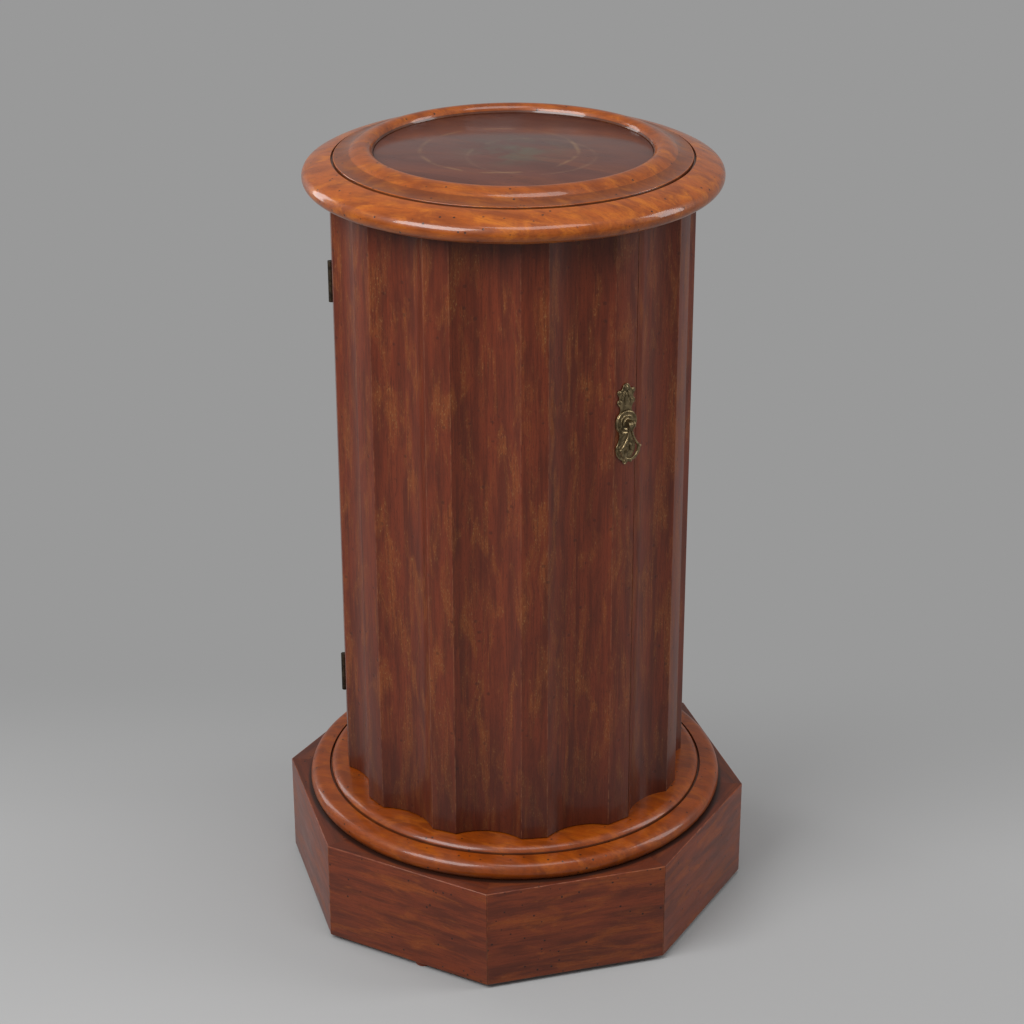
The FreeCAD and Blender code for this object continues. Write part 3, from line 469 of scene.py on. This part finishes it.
def turned_ring(outline, around, along):
    """A ring turned about the upright axis from an outline of radii and heights."""
    bm = bmesh.new()
    closed_chain(bm, outline, along)
    bmesh.ops.spin(bm, geom=[*bm.verts, *bm.edges], cent=(0, 0, 0), axis=(0, 0, 1), angle=math.tau,
                   steps=around, use_merge=True, use_duplicate=False)
    return bm


def shade_and_soil_bands(bm, bands):
    """Darkens bands of a piece, as painted shade in its recesses and as grime: inner and outer radius, lowest
    and highest point, and share.
    """
    shade_and_grime = bm.faces.layers.float.new("shade_and_grime")
    for face in bm.faces:
        middle = face.calc_center_median() / MM
        for inner, outer, low, high, share in bands:
            if inner < middle.xy.length < outer and low < middle.z < high:
                face[shade_and_grime] = share


ring_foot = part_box("top_ring")[0].z
panel_low, panel_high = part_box("top_panel")
panel_seat = (panel_low.z - ring_foot) / MM
TOP_OUTLINE = [
    (116.2, 0.0),
    (182.2, 0.0),
    (191.0, 8.8, 8.8, -1),
    (186.5, 16.5, 8.8, -1),
    (164.5, 24.2, 63.0, -1),
    (163.6, 21.9),
    (162.6, 22.1),
    (162.2, 25.1),
    (161.5, 25.7, 0.6, -1),
    (147.0, 30.0, 26.0, 1),
    (134.6, 35.4, 21.0, -1),
    (127.2, 30.2, 7.6, -1),
    (126.2, 28.6),
    (126.2, panel_seat),
    (116.2, panel_seat),
]
# Painted shade in the quirk, the cove and the gap at the panel's edge, and a slight darkening over the bead:
# inner and outer radius, lowest and highest point, and share.
TOP_DARK_BANDS = [
    (161.8, 165.0, 20.0, 24.9, 0.7),
    (147.5, 161.0, 25.6, 30.4, 0.46),
    (126.5, 147.5, 28.0, 35.6, 0.12),
    (126.0, 127.0, 20.0, 30.4, 0.8),
]
ring_wood = mahogany("polished_mahogany_mouldings", "#8a4208", "#572206", "#a15707",
                     cloud=(12, 34), cloud_share=0.55, patch=(15, 30), patch_share=0.75, grain_share=0.45,
                     pore_share=0.4, dent_mm=9.0, fleck_share=0.0, gloss=0.38, coat=0.55, coat_rough=0.06)
bm = turned_ring(TOP_OUTLINE, TURNED_STEPS, MOULDING_STEPS)
number_board(bm, TOP_BOARD)
shade_and_soil_bands(bm, TOP_DARK_BANDS)
bmesh.ops.translate(bm, verts=bm.verts, vec=(0, 0, ring_foot))
finished(bm, "turned_top_ring", ring_wood, "cabinet", "mahogany_mouldings", "top_ring")


# The sunken panel: a round mahogany board set in the ring's rebate, below its bead. Its old polish is stained
# and dulled by what has stood on it: a grey-green stain in the middle and two faint rings.
PANEL_RADIUS = 126.0 * MM
PANEL_EDGE_ROUND = 0.6 * MM
PANEL_STEPS = 160
PANEL_BOARD = 33
WOBBLE_CELL_MM = 30
WOBBLE = 9 * MM
STAINS = [
    (0.0, 0.0, 4, 70, 0.8, "#453f2f"),
    (-12.0, -4.0, 76, 3, 0.30, "#8a6a44"),
    (22.0, -10.0, 62, 3, 0.16, "#80644a"),
]


def stains(tree, place, brown):
    """The stains, each with its middle, its radius and its width in millimetres, its share and its colour."""
    flat = add(tree, "VectorMath", {"operation": "MULTIPLY"}, i0=place, i1=(1, 1, 0)).outputs[0]
    wobble = noise(tree, place, WOBBLE_CELL_MM, WOBBLE_CELL_MM)
    for x, y, radius, width, share, colour in STAINS:
        middle = (x * MM, y * MM, 0)
        off = add(tree, "VectorMath", {"operation": "DISTANCE"}, i0=flat, i1=middle).outputs["Value"]
        off = add(tree, "Math", {"operation": "MULTIPLY_ADD"}, i0=wobble, i1=WOBBLE, i2=off).outputs[0]
        off = add(tree, "Math", {"operation": "SUBTRACT"}, i0=off, i1=radius * MM).outputs[0]
        off = add(tree, "Math", {"operation": "ABSOLUTE"}, i0=off).outputs[0]
        near = add(tree, "MapRange", {"interpolation_type": "SMOOTHSTEP"}, Value=off, From_Min=0.0,
                   From_Max=width * MM, To_Min=share, To_Max=0.0).outputs[0]
        brown = blend(tree, times(tree, near, ramp(tree, wobble, 0.38, 0.62)), brown, colour)
    return brown


panel_wood = mahogany("stained_mahogany_panel", "#512a1f", "#3f1e16", "#613421",
                      patch_share=0.5, grain_share=0.25, dent_share=0.2, fleck_share=0.1, gloss=0.4, coat=0.6,
                      coat_rough=0.13, marks=stains)
bm = bmesh.new()
bmesh.ops.create_circle(bm, cap_ends=True, segments=PANEL_STEPS, radius=PANEL_RADIUS)
bmesh.ops.translate(bm, verts=bm.verts, vec=(0, 0, panel_low.z))
drawn = bmesh.ops.extrude_face_region(bm, geom=bm.faces[:])["geom"]
raised = [item for item in drawn if isinstance(item, bmesh.types.BMVert)]
bmesh.ops.translate(bm, verts=raised, vec=(0, 0, panel_high.z - panel_low.z))
bmesh.ops.recalc_face_normals(bm, faces=bm.faces)
rims = [edge for edge in bm.edges
        if edge.calc_face_angle(0) > RIM_BEND and edge.verts[0].co.z > panel_low.z + MM]
bmesh.ops.bevel(bm, geom=rims, offset=PANEL_EDGE_ROUND, offset_type="OFFSET", segments=2, profile=0.5,
                affect="EDGES", material=-1)
number_board(bm, PANEL_BOARD)
finished(bm, "sunken_panel", panel_wood, "cabinet", "mahogany_panel", "top_panel")

# The base moulding: a second ring turned from the same mahogany, polished a little darker. It lies on the
# plinth under the column, with a heavier nose, a quirk and a small fillet.
moulding_low, moulding_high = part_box("base_moulding")
moulding_top = (moulding_high.z - moulding_low.z) / MM
BASE_OUTLINE = [
    (100.0, 0.0),
    (200.4, 0.0),
    (203.7, 7.0, 9.1, -1),
    (196.2, 16.0, 9.1, -1),
    (185.0, 17.0, 70.0, -1),
    (184.0, 14.7),
    (183.0, 14.9),
    (182.6, 17.9),
    (175.5, moulding_top, 9.0, -1),
    (100.0, moulding_top),
]
BASE_BOARD = 35
# Painted shade in the quirk: inner and outer radius, lowest and highest point, and share.
BASE_QUIRK_SHADE = [(182.7, 185.2, 13.0, 17.4, 0.7)]
base_wood = mahogany("polished_mahogany_base", "#7a3402", "#4f1f03", "#8c4402",
                     cloud=(12, 34), cloud_share=0.55, patch=(15, 30), patch_share=0.75, grain_share=0.45,
                     pore_share=0.4, dent_mm=9.0, fleck_share=0.0, gloss=0.4, coat=0.3, coat_rough=0.08)
bm = turned_ring(BASE_OUTLINE, TURNED_STEPS, MOULDING_STEPS)
number_board(bm, BASE_BOARD)
shade_and_soil_bands(bm, BASE_QUIRK_SHADE)
bmesh.ops.translate(bm, verts=bm.verts, vec=(0, 0, moulding_low.z))
finished(bm, "turned_base_moulding", base_wood, "cabinet", "mahogany_mouldings", "base_moulding")


# The plinth: eight solid mahogany boards with level grain, mitred at the corners and glued. Their edges are
# rubbed. A painted shadow darkens their top along the foot of the moulding, and their top faces are a little
# darker.
CREVICE_START = 204.5 * MM
CREVICE_END = 208.0 * MM
CREVICE_SHARE = 0.95
CREVICE_SHADOW = "#130806"


def painted_crevice_shadow(tree, place, brown):
    """A painted shadow: a dark line along the foot of the moulding that fades outwards."""
    flat = add(tree, "VectorMath", {"operation": "MULTIPLY"}, i0=place, i1=(1, 1, 0)).outputs[0]
    reach = add(tree, "VectorMath", {"operation": "LENGTH"}, i0=flat).outputs["Value"]
    clear = ramp(tree, reach, CREVICE_START, CREVICE_END, CREVICE_SHARE)
    near = add(tree, "Math", {"operation": "SUBTRACT"}, i0=CREVICE_SHARE, i1=clear).outputs[0]
    return blend(tree, near, brown, CREVICE_SHADOW)


plinth_wood = mahogany("mahogany_plinth", "#6c2d13", "#3a150a", "#87400f",
                       cloud=(9, 60), cloud_share=0.6, patch=(14, 60), patch_share=0.6, grain_share=0.4,
                       dent_mm=9.0, fleck_share=0.15, gloss=0.42, coat=0.25, marks=painted_crevice_shadow)
PLINTH_SIDES = 8
PLINTH_HALF = 210.5 * MM
PLINTH_BOARD = 26.0 * MM
PLINTH_TURN = math.radians(-5.4)
PLINTH_ARRIS = 0.9 * MM
PLINTH_BOARDS = 40
# The plinth's top faces are a little darker: inner and outer radius, lowest and highest point, and share.
PLINTH_TOP_DARKER = [(150.0, 208.0, 103.9, 104.1, 0.5)]
plinth_low, plinth_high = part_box("plinth_board_1")
half_side = math.pi / PLINTH_SIDES
for number in range(PLINTH_SIDES):
    facing = PLINTH_TURN + number * 2 * half_side
    bm = bmesh.new()
    corners = [(PLINTH_HALF - PLINTH_BOARD, -half_side), (PLINTH_HALF, -half_side),
               (PLINTH_HALF, half_side), (PLINTH_HALF - PLINTH_BOARD, half_side)]
    verts = [bm.verts.new(polar(reach / math.cos(half_side), facing + side, plinth_low.z))
             for reach, side in corners]
    base_face = bm.faces.new(verts)
    drawn = bmesh.ops.extrude_face_region(bm, geom=[base_face])["geom"]
    raised = [item for item in drawn if isinstance(item, bmesh.types.BMVert)]
    bmesh.ops.translate(bm, verts=raised, vec=(0, 0, plinth_high.z - plinth_low.z))
    bmesh.ops.recalc_face_normals(bm, faces=bm.faces)
    worn = bm.faces.layers.float.new("wear")
    outer = PLINTH_HALF / math.cos(half_side) - MM
    rubbed = [edge for edge in bm.edges if all(vert.co.xy.length > outer for vert in edge.verts)]
    rounded = bmesh.ops.bevel(bm, geom=rubbed, offset=PLINTH_ARRIS, offset_type="OFFSET", segments=3,
                              profile=0.5, affect="EDGES", material=-1)
    for face in rounded["faces"]:
        face[worn] = 1.0
    number_board(bm, PLINTH_BOARDS + number, facing)
    shade_and_soil_bands(bm, PLINTH_TOP_DARKER)
    finished(bm, f"plinth_side_{number + 1}", plinth_wood, "cabinet", "mahogany_plinth",
             f"plinth_board_{number + 1}")


# Foot pads: three low discs turned from mahogany and glued under the plinth. They are chamfered, and keep the
# boards off the floor.
FOOT_RADIUS = 8.0 * MM
FOOT_CHAMFER = 0.5 * MM
FOOT_STEPS = 48
FOOT_BOARDS = 60
FEET = 3
for number in range(FEET):
    low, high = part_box(f"foot_pad_{number + 1}")
    middle = (low + high) / 2
    bm = bmesh.new()
    bmesh.ops.create_cone(bm, cap_ends=True, segments=FOOT_STEPS, radius1=FOOT_RADIUS, radius2=FOOT_RADIUS,
                          depth=high.z - low.z, matrix=Matrix.Translation(middle))
    rims = [edge for edge in bm.edges if edge.calc_face_angle(0) > RIM_BEND]
    bmesh.ops.bevel(bm, geom=rims, offset=FOOT_CHAMFER, offset_type="OFFSET", segments=2, profile=0.5,
                    affect="EDGES", material=-1)
    number_board(bm, FOOT_BOARDS + number)
    finished(bm, f"foot_{number + 1}", plinth_wood, "cabinet", "mahogany_plinth", f"foot_pad_{number + 1}")


# The drop handle: cast brass, dark with age and rubbed pale where fingers touch it. A leafy plate rises above
# a boss of two rings and falls below it as a lobe. The loop hangs from a pin across the boss's fork.
FILM_MM = 3.5
GRIT_MM = 0.5


def metal(name, ground, patina, metallic, rough, share):
    """A cast metal: its rubbed colour, the dark film over it, and how much the film covers."""
    made, tree = new_material(name)
    place = add(tree, "TexCoord").outputs["Object"]
    film = noise(tree, place, FILM_MM, FILM_MM, detail=4.0)
    grit = noise(tree, place, GRIT_MM, GRIT_MM, detail=2.0)
    tone = blend(tree, ramp(tree, film, 0.36, 0.62, share), ground, patina)
    dull = add(tree, "MapRange", Value=film, From_Min=0.3, From_Max=0.7, To_Min=rough - 0.08,
               To_Max=rough + 0.12)
    bump = add(tree, "Bump", Height=grit, Strength=0.3, Distance=RELIEF_MM * MM)
    cast = add(tree, "BsdfPrincipled", Base_Color=tone, Metallic=metallic, Roughness=dull.outputs[0],
               Normal=bump.outputs[0])
    add(tree, "OutputMaterial", Surface=cast.outputs[0])
    return made


# The brass of the handle keeps a soft gleam under its film. That of the hinges and catch is nearly black, and
# the screws are dull steel.
brass = metal("aged_brass", "#938160", "#4f4432", 1.0, 0.38, 0.8)
hinge_brass = metal("tarnished_brass", "#4f4334", "#26201b", 0.9, 0.5, 0.9)
steel = metal("screw_steel", "#8e8c88", "#55504a", 1.0, 0.4, 0.6)
HANDLE_TURN = Matrix.Rotation(math.radians(60), 4, "Z")
HANDLE_LEVEL = 537.6
PLATE_BACK = -166.25
PLATE_BOARD = 1.4


def mirrored(half):
    """A whole outline from its right half, listed from the bottom upwards and ending on the middle line."""
    whole = list(half)
    for number in range(len(half) - 1, 0, -1):
        arc = half[number][2:]
        whole.append((-half[number - 1][0], half[number - 1][1], *arc))
    return whole[1:]


def thickened(bm, board, soft, steps):
    """Draws the faces outwards by a thickness and rounds the long edges."""
    drawn = bmesh.ops.extrude_face_region(bm, geom=bm.faces[:])["geom"]
    raised = [item for item in drawn if isinstance(item, bmesh.types.BMVert)]
    bmesh.ops.translate(bm, verts=raised, vec=(0, -board * MM, 0))
    bmesh.ops.recalc_face_normals(bm, faces=bm.faces)
    rims = [edge for edge in bm.edges if edge.calc_face_angle(0) > RIM_BEND
            and abs(edge.verts[0].co.y - edge.verts[1].co.y) < WELD]
    bmesh.ops.bevel(bm, geom=rims, offset=soft * MM, offset_type="OFFSET", segments=steps, profile=0.5,
                    affect="EDGES", material=-1)


def at_handle(bm, depth):
    """Moves a part drawn about the origin to its depth and the handle's level, and turns it to its land."""
    raised = Matrix.Translation(Vector((0, depth, HANDLE_LEVEL)) * MM)
    bmesh.ops.transform(bm, matrix=HANDLE_TURN @ raised, verts=bm.verts)


PLATE_HALF = [
    (0.0, -40.4),
    (3.3, -36.8, 3.8, -1),
    (4.4, -35.8, 1.5, 1),
    (10.6, -27.4, 11.0, -1),
    (9.4, -20.0, 8.0, -1),
    (7.6, -8.63, 14.0, 1),
    (7.2, 8.97, 11.5, -1),
    (8.1, 17.0, 7.0, 1),
    (8.0, 22.4, 2.9, -1),
    (9.2, 27.2, 5.0, 1),
    (8.0, 31.6, 2.6, -1),
    (4.2, 32.6, 2.6, 1),
    (0.0, 36.8, 4.7, -1),
]
# The leaves, buds and knobs raised on the plate: middle, half width, half height, and lean in degrees.
LEAVES = [
    (0, 22.5, 1.7, 6.4, 0),
    (-3.2, 25.5, 1.3, 5.2, 20),
    (3.2, 25.5, 1.3, 5.2, -20),
    (0, 32.3, 2.6, 2.6, 0),
    (-7.4, 29.2, 1.8, 1.8, 0),
    (7.4, 29.2, 1.8, 1.8, 0),
    (-6.3, 19.8, 1.7, 2.0, 0),
    (6.3, 19.8, 1.7, 2.0, 0),
    (0, -25.0, 3.6, 8.0, 0),
    (-6.4, -26.0, 1.6, 5.0, 8),
    (6.4, -26.0, 1.6, 5.0, -8),
    (0, -37.2, 1.9, 1.9, 0),
]
LEAF_DEPTH = 0.9
LEAF_SWELL = 1.1
HANDLE_ARC_STEPS = 9
PLATE_ROUND = 0.45
FACING_SHARE = 0.99
PLATE_SINK = 0.5 * MM
PLATE_MARGIN = 0.7 * MM
bm = bmesh.new()
closed_chain(bm, mirrored(PLATE_HALF), HANDLE_ARC_STEPS)
bmesh.ops.contextual_create(bm, geom=bm.edges)
thickened(bm, PLATE_BOARD, PLATE_ROUND, 3)
fronts = [face for face in bm.faces if face.normal.dot(FRONT) > FACING_SHARE]
bmesh.ops.inset_region(bm, faces=fronts, thickness=PLATE_MARGIN, depth=-PLATE_SINK)
for x, z, wide, tall, lean in LEAVES:
    leaf = Matrix.Translation(Vector((x, -LEAF_DEPTH, z)) * MM)
    leaf = leaf @ Matrix.Rotation(math.radians(lean), 4, "Y") @ Matrix.Diagonal((wide, LEAF_SWELL, tall, 1))
    bmesh.ops.create_uvsphere(bm, u_segments=20, v_segments=12, radius=MM, matrix=leaf)
at_handle(bm, PLATE_BACK)
finished(bm, "leafy_plate", brass, "door", "antique_brass", "handle_backplate")

BOSS_OUTLINE = [
    (2.6, 0.0),
    (11.4, 0.0),
    (11.4, 0.7),
    (9.4, 1.1, 1.15, -1),
    (8.9, 0.7),
    (7.7, 0.8),
    (5.7, 1.5, 1.2, -1),
    (4.9, 1.2),
    (3.6, 2.2, 1.4, 1),
    (2.6, 2.2),
]
BOSS_STEPS = 64
BOSS_ARC_STEPS = 7
bm = turned_ring(BOSS_OUTLINE, BOSS_STEPS, BOSS_ARC_STEPS)
bmesh.ops.transform(bm, matrix=Matrix.Rotation(math.pi / 2, 4, "X"), verts=bm.verts)
at_handle(bm, PLATE_BACK - PLATE_BOARD)
finished(bm, "ringed_boss", brass, "door", "antique_brass", "handle_boss")

# The pear-shaped loop: cast brass, open in the middle, with an eye for the pin above and three small knobs.
PIN_LINE = -174.05
DROP_BOARD = 2.6
DROP_ROUND = 0.8
LOOP_HALF = [(0.0, -34.6), (10.2, -20.6, 10.8, -1), (1.75, -3.7, 30.0, 1), (1.75, 0.6), (0.0, 2.4, 1.9, -1)]
HOLE_HALF = [(0.0, -31.8), (7.8, -21.2, 8.3, -1), (1.0, -7.4, 34.0, 1), (1.0, -6.9), (0.0, -5.9, 1.05, -1)]
KNOBS = [(-10.5, -22.6, 1.5), (10.5, -22.6, 1.5), (0.0, -34.2, 1.7)]
EYE_RADIUS = 2.7 * MM
EYE_LENGTH = 3.6 * MM
bm = bmesh.new()
closed_chain(bm, mirrored(LOOP_HALF), HANDLE_ARC_STEPS)
closed_chain(bm, mirrored(HOLE_HALF), HANDLE_ARC_STEPS)
bmesh.ops.bridge_loops(bm, edges=bm.edges)
thickened(bm, DROP_BOARD, DROP_ROUND, 3)
for x, z, radius in KNOBS:
    knob = Matrix.Translation(Vector((x, -DROP_BOARD / 2, z)) * MM)
    bmesh.ops.create_uvsphere(bm, u_segments=20, v_segments=12, radius=radius * MM, matrix=knob)
eye = Matrix.Translation(Vector((0, -DROP_BOARD / 2, 0)) * MM) @ Matrix.Rotation(math.pi / 2, 4, "Y")
bmesh.ops.create_cone(bm, cap_ends=True, segments=40, radius1=EYE_RADIUS, radius2=EYE_RADIUS,
                      depth=EYE_LENGTH, matrix=eye)
at_handle(bm, PIN_LINE + DROP_BOARD / 2)
finished(bm, "pear_drop", brass, "drop", "antique_brass", "handle_drop")


# The parts behind the show wood keep their drawn shapes: pine boards and blocks, hinges, screws and catch.
# The pine is straight-grained and unpolished, and has darkened with age.
PINE_BAND_MM = (5, 220)
PINE_FIBRE_MM = (0.9, 26)


def pine(name):
    """Plain pine: broad level bands, fine fibres, and no shine."""
    made, tree = new_material(name)
    place = add(tree, "TexCoord").outputs["Object"]
    level = add(tree, "Mapping", Vector=place, Rotation=LEVEL_GRAIN).outputs[0]
    bands = noise(tree, level, *PINE_BAND_MM, detail=3.0)
    fibres = noise(tree, level, *PINE_FIBRE_MM, detail=3.0)
    tone = blend(tree, ramp(tree, bands, 0.4, 0.65), "#b98f5c", "#8f6438")
    tone = blend(tree, ramp(tree, fibres, 0.5, 0.75, 0.5), tone, "#7a5330")
    wood = add(tree, "BsdfPrincipled", Base_Color=tone, Roughness=0.7)
    add(tree, "OutputMaterial", Surface=wood.outputs[0])
    return made


pine_wood = pine("aged_pine")
FINISHES = {
    pine_wood: ("plinth_glue_blocks", "plinth_top_board", "bottom_board", "shelf", "shelf_battens",
                "carcass_top", "door_stop"),
    brass: ("handle_post", "handle_cross_pin", "handle_nut"),
    hinge_brass: ("lower_hinge_fixed_leaf", "upper_hinge_fixed_leaf", "lower_hinge_door_leaf",
                  "upper_hinge_door_leaf", "lower_hinge_pin", "upper_hinge_pin", "catch_barrel",
                  "strike_plate"),
    steel: ("moulding_screws", "top_screws", "hinge_screws_fixed", "hinge_screws_door", "strike_screws",
            "catch_ball", "catch_spring"),
}
for finish, names in FINISHES.items():
    for name in names:
        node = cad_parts[name]
        node.data.materials.clear()
        node.data.materials.append(finish)
